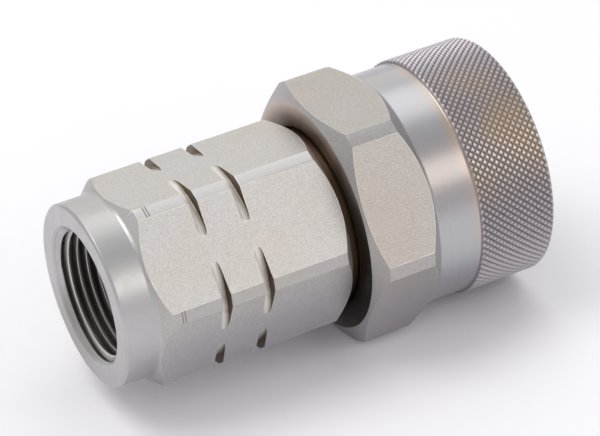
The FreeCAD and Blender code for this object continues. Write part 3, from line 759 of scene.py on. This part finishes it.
def threaded_steel(name, finish, root, crest):
    """Machined thread: painted shade at the root and on the flanks, and a painted highlight on the crest."""
    material, tree, shader, place = new_surface(name)
    along, out = axial_parts(tree, place)
    rings = ring_noise(tree, along, out, 6.0)
    # Painted shade: dark steel on the flanks and at the root
    flank = mix(tree, remap(tree, rings, 0.3, 0.7, 0.0, 0.5), finish.bore, shade(finish.bore, 1.5))
    # Painted highlight: the crests drawn bright
    bright = power(tree, remap(tree, out, root / MM, crest / MM), 3.0)
    tone = mix(tree, bright, flank, finish.crest)
    set_finish(tree, shader, tone, remap(tree, rings, 0.2, 0.8, 0.26, 0.40))
    add_bump(tree, shader, rings, 0.1, 0.01 * MM)
    return material


def machined_steel(name, light, roughness):
    """Inner machined steel with turning rings."""
    material, tree, shader, place = new_surface(name)
    along, out = axial_parts(tree, place)
    rings = ring_noise(tree, along, out, 5.0)
    cloud = noise(tree, place, 220)
    tone = ramp(tree, rings, ((0.25, shade(light, 0.90)), (0.5, light), (0.78, shade(light, 1.10))))
    tone = mix(tree, remap(tree, cloud, 0.35, 0.7, 0.0, 0.3), tone, shade(light, 0.82))
    set_finish(tree, shader, tone, remap(tree, rings, 0.2, 0.8, roughness - 0.05, roughness + 0.08))
    add_bump(tree, shader, rings, 0.1, 0.01 * MM)
    return material


def moulded(name, light, roughness, grain_scale):
    """Rubber or plastic with a fine moulded grain."""
    material, tree, shader, place = new_surface(name)
    grain = noise(tree, place, grain_scale)
    tone = ramp(tree, grain, ((0.3, shade(light, 0.85)), (0.7, shade(light, 1.15))))
    set_finish(tree, shader, tone, remap(tree, grain, 0.25, 0.75, roughness - 0.06, roughness + 0.06), 0.0)
    add_bump(tree, shader, grain, 0.15, 0.01 * MM)
    return material


class COUPLING_OT_port_body(bpy.types.Operator):
    """Turn the hexagon body with its port, corner grooves and flats."""

    bl_idname = "coupling.port_body"
    bl_label = "Port body"

    def execute(self, context):
        sizes = context.scene.coupling_port_body
        finish = context.scene.coupling_finish
        soft = sizes.edge_break
        fine, crisp = 0.6 * soft, 0.25 * soft
        top = sizes.corner_radius
        scribes = (sizes.scribe_start, sizes.scribe_start + sizes.scribe_step)
        grooves = (sizes.first_groove, sizes.second_groove)
        end = sizes.hex_length
        rear_cone_start = end - sizes.cone_run
        root_end = end + sizes.tail_root_length
        pilot_start = TAIL_END - sizes.pilot_length
        seal_end = TAIL_END - sizes.seal_wall
        seal_start = seal_end - sizes.seal_width
        snap_end = sizes.snap_start + sizes.snap_width
        outline = [
            (0, sizes.port_radius + sizes.port_chamfer, fine),
            (0, sizes.collar_radius - sizes.collar_chamfer, fine),
            (sizes.collar_chamfer, sizes.collar_radius, fine),
            (sizes.collar_length, sizes.collar_radius, 4 * soft),
            (sizes.collar_length + sizes.cone_run, top, crisp),
            *[corner for start in scribes for corner in scribed_line(sizes, start)],
            *[corner for start in grooves for corner in corner_groove(sizes, start)],
            (rear_cone_start, top, crisp),
            (end, sizes.collar_radius, soft),
            (end, sizes.tail_root, 0),
            (root_end, sizes.tail_root, 0),
            (root_end + sizes.tail_root_cone, sizes.tail_radius, 0),
            (pilot_start - sizes.pilot_cone, sizes.tail_radius, 0),
            (pilot_start, sizes.pilot_radius, 0),
            (seal_start, sizes.pilot_radius, 0),
            (seal_start, sizes.seal_floor, 0),
            (seal_end, sizes.seal_floor, 0),
            (seal_end, sizes.pilot_radius, 0),
            (TAIL_END - sizes.pilot_chamfer, sizes.pilot_radius, 0),
            (TAIL_END, sizes.pilot_radius - sizes.pilot_chamfer, 0),
            (TAIL_END, sizes.guide_bore, 0),
            (snap_end, sizes.guide_bore, 0),
            (snap_end, sizes.snap_floor, 0),
            (sizes.snap_start, sizes.snap_floor, 0),
            (sizes.snap_start, sizes.guide_bore, 0),
            (sizes.guide_seat, sizes.guide_bore, 0),
            (sizes.guide_seat, sizes.flow_radius, 0),
            (sizes.flow_start, sizes.flow_radius, soft),
            (sizes.port_depth, sizes.port_radius, soft),
            (sizes.port_chamfer, sizes.port_radius, fine),
        ]
        bm = turned_blank(outline, sizes.steps)
        roll = Matrix.Rotation(sizes.roll, 3, "X")
        bmesh.ops.rotate(bm, verts=list(bm.verts), cent=(0, 0, 0), matrix=roll)
        flats, edges = cut_flats(bm, sizes.apothem, sizes.roll + math.pi / HEX_SIDES, end + MARGIN, soft)

        def zone(face):
            if face in flats:
                return "flat"
            if face in edges:
                return "edge"
            middle = face.calc_center_median()
            out = radius_of(middle)
            if out > sizes.apothem + 2 * MARGIN:
                if any(start < middle.x < start + sizes.scribe_width for start in scribes):
                    return "scribe"
                if any(start < middle.x < start + sizes.groove_width for start in grooves):
                    return "groove"
            if middle.x < sizes.guide_seat + MARGIN and out < sizes.port_radius + MARGIN:
                return "bore"
            if middle.x > rear_cone_start + MARGIN:
                return "rear_cone"
            return "collar" if middle.x < sizes.collar_length + sizes.collar_root else "corner"

        lit_angle, lit_spread = LIT_CORNER_PAINTED_HIGHLIGHT
        finishes = {
            "flat": blasted_plate(
                "body_plate", finish, finish.plate, finish.plate_shade, finish.plate_roughness,
                grain_depth=0.07 * MM, warm_share=0.12,
            ),
            "collar": satin_plate("collar_plate", finish),
            # Dark bore steel: painted shade inside the port
            "bore": machined_steel("port_bore_steel", finish.bore, roughness=0.32),
            # Edges drawn lighter: partly wear, partly a painted highlight
            "edge": rubbed("body_edge_wear_and_highlight", finish.edge, finish.edge_roughness),
            "scribe": rubbed("scribed_line", finish.scribe, roughness=0.45),
            "groove": grooved_plate("groove_plate", finish, sizes),
            # The corners take a painted highlight on the side that catches the light
            "corner": blasted_plate(
                "corner_plate", finish, finish.corner, shade(finish.corner, 0.88), roughness=0.42,
                grain_depth=0.01 * MM, warm_share=0.12,
                painted_highlight_side=(math.degrees(sizes.roll) + lit_angle, lit_spread),
            ),
            # The rear cone in the gap takes its brown: staining and painted shade
            "rear_cone": rubbed("rear_cone_plate", shade(finish.stain_and_shade_edge, 0.8), roughness=0.50, metal=0.4),
        }
        finish_piece(bm, "port_body_turned", "body", finishes, zone, ["port_body"])
        return {"FINISHED"}


def helical_ridge(sizes, wall, crest, half_widths, start, pitch, turns, mouth, inward):
    """Ridge of an internal thread: a small profile spun and advanced along the axis.

    The ridge is cut by the mouth's chamfer, which goes in the inward direction, and fades at its far end.
    """
    bm = bmesh.new()
    half_base, half_crest = (share * pitch for share in half_widths)
    rise = wall - crest
    foot, nip = 0.04 * rise, 0.06 * rise
    least_rise = 0.04
    half = [(half_base, wall + RIDGE_EMBED), (half_base - foot, wall - nip)]
    for share in (0.3, 0.55, 0.8):
        half.append((half_base + share * (half_crest - half_base), wall - share * rise))
    half += [(half_crest + nip, crest + nip), (half_crest, crest)]
    profile = [(-x, r) for x, r in half] + [(x, r) for x, r in reversed(half)]
    bm.faces.new([bm.verts.new((start + x, r, 0)) for x, r in profile])
    bmesh.ops.spin(
        bm, geom=whole(bm), cent=(0, 0, 0), axis=AXIS, dvec=(pitch / sizes.steps, 0, 0),
        angle=2 * math.pi * turns, steps=round(turns * sizes.steps),
    )
    cone_face, cone_radius = mouth
    for vert in bm.verts:
        share = (math.atan2(vert.co.z, vert.co.y) / (2 * math.pi)) % 1.0
        turn = round((vert.co.x - start) / pitch - share) + share
        from_blind_end = turns - turn if inward > 0 else turn
        rise_here = min(1.0, max(least_rise, from_blind_end / sizes.fade))
        out = radius_of(vert.co)
        target = wall - (wall - out) * rise_here if out < wall else out
        target = max(target, cone_radius - inward * (vert.co.x - cone_face))
        vert.co.y *= target / out
        vert.co.z *= target / out
    cut_depth = cone_radius - wall - RIDGE_EMBED + RIDGE_CLEARANCE
    trim(bm, cone_face + inward * cut_depth, -inward)
    face_outwards(bm)
    return bm


def chamfer_zone(mouth, inward):
    """Tell the faces that the mouth's chamfer has cut from the rest of the ridge."""
    cone_face, cone_radius = mouth

    def on_chamfer(point):
        return abs(radius_of(point) - cone_radius + inward * (point.x - cone_face)) < RIDGE_CLEARANCE

    return lambda face: "chamfer" if all(on_chamfer(v.co) for v in face.verts) else "ridge"


class COUPLING_OT_threads(bpy.types.Operator):
    """Cut the ridges of the port thread and of the coupling thread."""

    bl_idname = "coupling.threads"
    bl_label = "Threads"

    def execute(self, context):
        sizes = context.scene.coupling_threads
        body = context.scene.coupling_port_body
        sleeve = context.scene.coupling_sleeve
        finish = context.scene.coupling_finish

        mouth = (0.0, body.port_radius + body.port_chamfer + RIDGE_CLEARANCE)
        port = helical_ridge(
            sizes, body.port_radius, sizes.port_crest, PORT_RIDGE, sizes.port_start, sizes.port_pitch,
            sizes.port_turns, mouth, inward=1,
        )
        finishes = {
            "ridge": threaded_steel("port_thread_steel", finish, body.port_radius, sizes.port_crest),
            "chamfer": satin_plate("port_chamfer_plate", finish),
        }
        finish_piece(port, "port_thread", "body", finishes, chamfer_zone(mouth, 1))

        mouth = (SLEEVE_HIGH.x, sleeve.thread_radius + sleeve.mouth_chamfer + RIDGE_CLEARANCE)
        coupling = helical_ridge(
            sizes, sleeve.thread_radius, sizes.coupling_crest, COUPLING_RIDGE, sizes.coupling_start,
            sizes.coupling_pitch, sizes.coupling_turns, mouth, inward=-1,
        )
        finishes = {
            "ridge": threaded_steel(
                "coupling_thread_steel", finish, sleeve.thread_radius, sizes.coupling_crest
            ),
            "chamfer": machined_steel("thread_chamfer_steel", finish.inner, roughness=0.34),
        }
        finish_piece(coupling, "coupling_thread", "sleeve", finishes, chamfer_zone(mouth, -1))
        return {"FINISHED"}


def raise_knurl(bm, sizes, rows):
    """Turn the plain band into diamonds.

    Every second point of the grid is sunk, the grooves between are creased and the points are cut flat.
    """
    step = math.pi / sizes.knurl_count
    low, high = rows[0] - LEVEL, rows[-1] + LEVEL
    cut_share = sizes.knurl_flat / (step * sizes.knurl_radius)
    point = sizes.knurl_radius + cut_share * sizes.knurl_depth
    points, valleys = [], []
    for vert in bm.verts:
        if not low < vert.co.x < high or abs(radius_of(vert.co) - sizes.knurl_radius) > LEVEL:
            continue
        column = round(math.atan2(vert.co.z, vert.co.y) / step)
        row = min(range(len(rows)), key=lambda k: abs(rows[k] - vert.co.x))
        is_point = (column + row) % 2 == 0
        target = point if is_point else point - sizes.knurl_depth
        vert.co.y *= target / sizes.knurl_radius
        vert.co.z *= target / sizes.knurl_radius
        (points if is_point else valleys).append(vert)
    bmesh.ops.connect_verts(bm, verts=valleys)
    bmesh.ops.bevel(
        bm, geom=points, offset=sizes.knurl_flat, offset_type="OFFSET", segments=1, profile=0.5,
        affect="VERTICES", clamp_overlap=True, material=-1,
    )


class COUPLING_OT_screw_sleeve(bpy.types.Operator):
    """Turn the screw sleeve, cut its hexagon and knurl its front band."""

    bl_idname = "coupling.screw_sleeve"
    bl_label = "Screw sleeve"

    def execute(self, context):
        sizes = context.scene.coupling_sleeve
        finish = context.scene.coupling_finish
        soft = sizes.edge_break
        fine, crisp = 0.6 * soft, 0.25 * soft
        rear, front = SLEEVE_LOW.x, SLEEVE_HIGH.x
        hex_end = rear + sizes.hex_length
        knurl_start = front - sizes.knurl_length
        parting = 0.5 * (hex_end + knurl_start)
        first_row = knurl_start + sizes.rear_chamfer
        last_row = front - sizes.front_chamfer
        row_step = (last_row - first_row) / sizes.knurl_rows
        rows = [first_row + k * row_step for k in range(sizes.knurl_rows + 1)]
        thread_end = front - sizes.mouth_chamfer
        thread_start = thread_end - sizes.thread_length
        lip_end = rear + sizes.lip_length
        groove_end = sizes.dust_groove_start + sizes.dust_groove_width
        outline = [
            (rear, sizes.lip_radius + sizes.lip_chamfer, fine),
            (rear, sizes.face_radius, soft),
            (rear + sizes.rear_cone, sizes.corner_radius, crisp),
            (hex_end - sizes.front_cone, sizes.corner_radius, crisp),
            (hex_end, sizes.neck_radius, sizes.neck_fillet),
            (parting, sizes.neck_radius, 0),
            (knurl_start, sizes.neck_radius, soft),
            *[(x, sizes.knurl_radius, 0) for x in rows],
            (front, sizes.knurl_radius - sizes.front_chamfer, soft),
            (front, sizes.thread_radius + sizes.mouth_chamfer, soft),
            (thread_end, sizes.thread_radius, soft),
            (thread_start, sizes.thread_radius, 0),
            (thread_start - sizes.relief_step, sizes.relief_radius, 0),
            (lip_end, sizes.relief_radius, 2 * soft),
            (lip_end, sizes.lip_radius, 0),
            (groove_end, sizes.lip_radius, 0),
            (groove_end, sizes.dust_groove_radius, 0),
            (sizes.dust_groove_start, sizes.dust_groove_radius, 0),
            (sizes.dust_groove_start, sizes.lip_radius, 0),
            (rear + sizes.lip_chamfer, sizes.lip_radius, fine),
        ]
        bm = turned_blank(outline, 2 * sizes.knurl_count)
        flats, edges = cut_flats(bm, sizes.apothem, math.pi / HEX_SIDES, parting + LEVEL, soft)
        raise_knurl(bm, sizes, rows)
        face_outwards(bm)
        inner = sizes.relief_radius + 0.5 * sizes.mouth_chamfer
        slack = 0.2 * MARGIN

        def in_knurl(face):
            middle = face.calc_center_median()
            return radius_of(middle) > inner and first_row - slack < middle.x < last_row + slack

        def zone(face):
            if face in flats:
                return "flat"
            if face in edges:
                return "edge"
            middle = face.calc_center_median()
            out = radius_of(middle)
            if middle.x < rear + MARGIN or (out < inner and middle.x < lip_end - LEVEL):
                return "rear_face"
            if out < inner:
                return "bore"
            if knurl_start + 2 * MARGIN < middle.x < last_row + slack:
                return "knurl"
            return "neck" if middle.x > hex_end - 0.6 * sizes.neck_fillet else "corner"

        finishes = {
            "flat": blasted_plate(
                "nut_plate", finish, finish.nut_plate, finish.nut_shade, finish.plate_roughness - 0.04,
                grain_depth=0.075 * MM, warm_share=0.20,
            ),
            "neck": turned_plate(
                "neck_plate", finish, finish.turned, finish.turned_roughness,
                tint_at=(knurl_start / MM, (knurl_start - sizes.neck_tint) / MM),
            ),
            "knurl": knurled_plate("knurl_plate", finish, sizes),
            "bore": machined_steel("sleeve_bore_steel", shade(finish.inner, 0.8), roughness=0.34),
            # Edges drawn lighter: partly wear, partly a painted highlight
            "edge": rubbed("nut_edge_wear_and_highlight", finish.edge, finish.edge_roughness),
            # Staining and painted shade on the rear face in the gap
            "rear_face": stained_and_shaded_face(
                "nut_rear_face", finish, (sizes.lip_radius + sizes.stain_and_shade_reach) / MM, sizes.face_radius / MM
            ),
            "corner": blasted_plate(
                "nut_corner_plate", finish, shade(finish.corner, 0.92), shade(finish.corner, 0.80),
                roughness=0.40, grain_depth=0.01 * MM, warm_share=0.12,
            ),
        }
        finish_piece(
            bm, "screw_sleeve_knurled", "sleeve", finishes, zone, ["screw_sleeve"], in_knurl
        )
        return {"FINISHED"}


class COUPLING_OT_valve_spring(bpy.types.Operator):
    """Coil the valve spring and grind its ends flat."""

    bl_idname = "coupling.valve_spring"
    bl_label = "Valve spring"

    def execute(self, context):
        sizes = context.scene.coupling_spring
        finish = context.scene.coupling_finish
        rear, front = SPRING_LOW.x, SPRING_HIGH.x
        coil_radius = sizes.outer_radius - sizes.wire / 2
        bm = bmesh.new()
        place = Matrix.Translation((rear, 0, -coil_radius)) @ Matrix.Rotation(math.pi / 2, 4, "X")
        bmesh.ops.create_circle(
            bm, cap_ends=True, segments=sizes.wire_sides, radius=sizes.wire / 2, matrix=place
        )
        count = round(sizes.turns * sizes.steps)
        bmesh.ops.spin(
            bm, geom=whole(bm), cent=(0, 0, 0), axis=AXIS, dvec=((front - rear) / count, 0, 0),
            angle=2 * math.pi * sizes.turns, steps=count,
        )
        trim(bm, rear, -1)
        trim(bm, front, 1)
        face_outwards(bm)
        finishes = {"wire": machined_steel("spring_wire_steel", finish.spring, roughness=0.36)}
        piece = finish_piece(
            bm, "valve_spring_coil", "body", finishes, nodes=["valve_spring"],
            even_normals=False,
        )
        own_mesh(piece)
        return {"FINISHED"}


class COUPLING_OT_inner_pieces(bpy.types.Operator):
    """Give the front body, the valve, the guide, the rings and the seals their finishes."""

    bl_idname = "coupling.inner_pieces"
    bl_label = "Inner pieces"

    def execute(self, context):
        finish = context.scene.coupling_finish
        # The front body's neck takes the brown staining and painted shade of the gap
        front_plate = turned_plate(
            "front_body_plate", finish, shade(finish.turned, 0.95), roughness=0.30, stain_and_shade_at=FRONT_BODY_STAIN_AND_SHADE
        )
        valve_steel = machined_steel("valve_steel", shade(finish.inner, 1.25), roughness=0.28)
        guide_steel = machined_steel("guide_steel", finish.inner, roughness=0.36)
        rubber = moulded("seal_rubber", finish.rubber, roughness=0.55, grain_scale=2600)
        plastic = moulded("backup_plastic", finish.backup, roughness=0.42, grain_scale=1900)
        bronze = machined_steel("washer_bronze", finish.bronze, roughness=0.36)
        groups = (
            (front_plate, ("front_body",)),
            (valve_steel, ("valve_sleeve", "valve_stem")),
            (guide_steel, ("stem_guide", "stem_nut", "stem_washer", "spring_seat", "guide_snap_ring")),
            (rubber, ("stem_seal", "socket_seal", "body_seal", "dust_seal")),
            (plastic, ("stem_backup_ring", "socket_backup_ring", "body_backup_ring")),
            (bronze, ("thrust_washer",)),
        )
        for material, names in groups:
            for name in names:
                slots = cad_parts[name].material_slots
                if not slots:
                    raise RuntimeError("CAD node " + name + " has no material slot")
                for slot in slots:
                    slot.material = material
        return {"FINISHED"}


def lay_floor(settings):
    """Pale level floor under the part."""
    bm = bmesh.new()
    bmesh.ops.create_grid(bm, x_segments=2, y_segments=2, size=settings.floor_size / 2)
    bmesh.ops.translate(bm, verts=list(bm.verts), vec=(STAGE_MIDDLE.x, 0, CAD_BOX[0][2]))
    mesh = bpy.data.meshes.new("floor")
    bm.to_mesh(mesh)
    bm.free()
    material, tree, shader, place = new_surface("pale_floor")
    stops = ((0.3, shade(settings.floor, 0.995)), (0.7, settings.floor))
    tree.links.new(ramp(tree, noise(tree, place, 3, 1.0), stops), shader.inputs["Base Color"])
    shader.inputs["Roughness"].default_value = 0.85
    shader.inputs["Specular IOR Level"].default_value = 0.1
    mesh.materials.append(material)
    floor = link_object("floor", mesh)


def light_world(settings):
    """Even light from all round, which changes a little from the horizon to the zenith."""
    world = bpy.data.worlds.new("studio")
    bpy.context.scene.world = world
    world.use_nodes = True
    tree = world.node_tree
    tree.nodes.clear()
    output = add_node(tree, "ShaderNodeOutputWorld")
    background = add_node(tree, "ShaderNodeBackground")
    tree.links.new(background.outputs["Background"], output.inputs["Surface"])
    direction = add_node(tree, "ShaderNodeTexCoord")
    parts = add_node(tree, "ShaderNodeSeparateXYZ")
    tree.links.new(direction.outputs["Generated"], parts.inputs["Vector"])
    stops = ((0.0, settings.horizon), (0.75, settings.sky))
    tree.links.new(ramp(tree, parts.outputs["Z"], stops, smooth=True), background.inputs["Color"])


def soft_light(name, place, size, watts, tone):
    """Large rectangular lamp at place, aimed at the middle of the stage."""
    lamp = bpy.data.lights.new(name, "AREA")
    lamp.shape = "RECTANGLE"
    lamp.size, lamp.size_y = size
    lamp.energy = watts
    lamp.color = tone
    holder = link_object(name, lamp)
    holder.location = place
    holder.visible_camera = False
    holder.rotation_euler = (STAGE_MIDDLE - Vector(place)).to_track_quat("-Z", "Y").to_euler()


class COUPLING_OT_stage(bpy.types.Operator):
    """Set the floor, the world, the lamps and the camera."""

    bl_idname = "coupling.stage"
    bl_label = "Stage"

    def execute(self, context):
        scene = context.scene
        settings = scene.coupling_stage
        lay_floor(settings)
        light_world(settings)
        for lamp in LAMPS:
            soft_light(*lamp)
        camera_data = bpy.data.cameras.new("photo_camera")
        camera_data.lens = settings.lens
        camera_data.sensor_width = 36
        camera_data.sensor_fit = "HORIZONTAL"
        camera_data.clip_start = 0.01
        camera = link_object("photo_camera", camera_data)
        camera.matrix_world = Matrix.Translation(CAMERA_PLACE) @ CAMERA_TURN.normalized().to_4x4()
        scene.camera = camera
        scene.view_settings.view_transform = "Standard"
        return {"FINISHED"}


STEPS = ("port_body", "threads", "screw_sleeve", "valve_spring", "inner_pieces", "stage")


class COUPLING_PT_panel(bpy.types.Panel):
    """Sidebar panel with the steps in order."""

    bl_label = "Coupling"
    bl_idname = "COUPLING_PT_panel"
    bl_space_type = "VIEW_3D"
    bl_region_type = "UI"
    bl_category = "Coupling"

    def draw(self, context):
        for step in STEPS:
            self.layout.operator("coupling." + step)


GROUPS = {
    "coupling_port_body": PortBodySizes,
    "coupling_sleeve": SleeveSizes,
    "coupling_threads": ThreadSizes,
    "coupling_spring": SpringSizes,
    "coupling_finish": FinishColours,
    "coupling_stage": StageSettings,
}
CLASSES = (
    *GROUPS.values(),
    COUPLING_OT_port_body,
    COUPLING_OT_threads,
    COUPLING_OT_screw_sleeve,
    COUPLING_OT_valve_spring,
    COUPLING_OT_inner_pieces,
    COUPLING_OT_stage,
    COUPLING_PT_panel,
)


def register():
    for item in CLASSES:
        bpy.utils.register_class(item)
    for name, group in GROUPS.items():
        setattr(bpy.types.Scene, name, PointerProperty(type=group))


def unregister():
    for name in GROUPS:
        delattr(bpy.types.Scene, name)
    for item in reversed(CLASSES):
        bpy.utils.unregister_class(item)


def main():
    register()
    for step in STEPS:
        getattr(bpy.ops.coupling, step)()


if __name__ == "__main__":
    main()
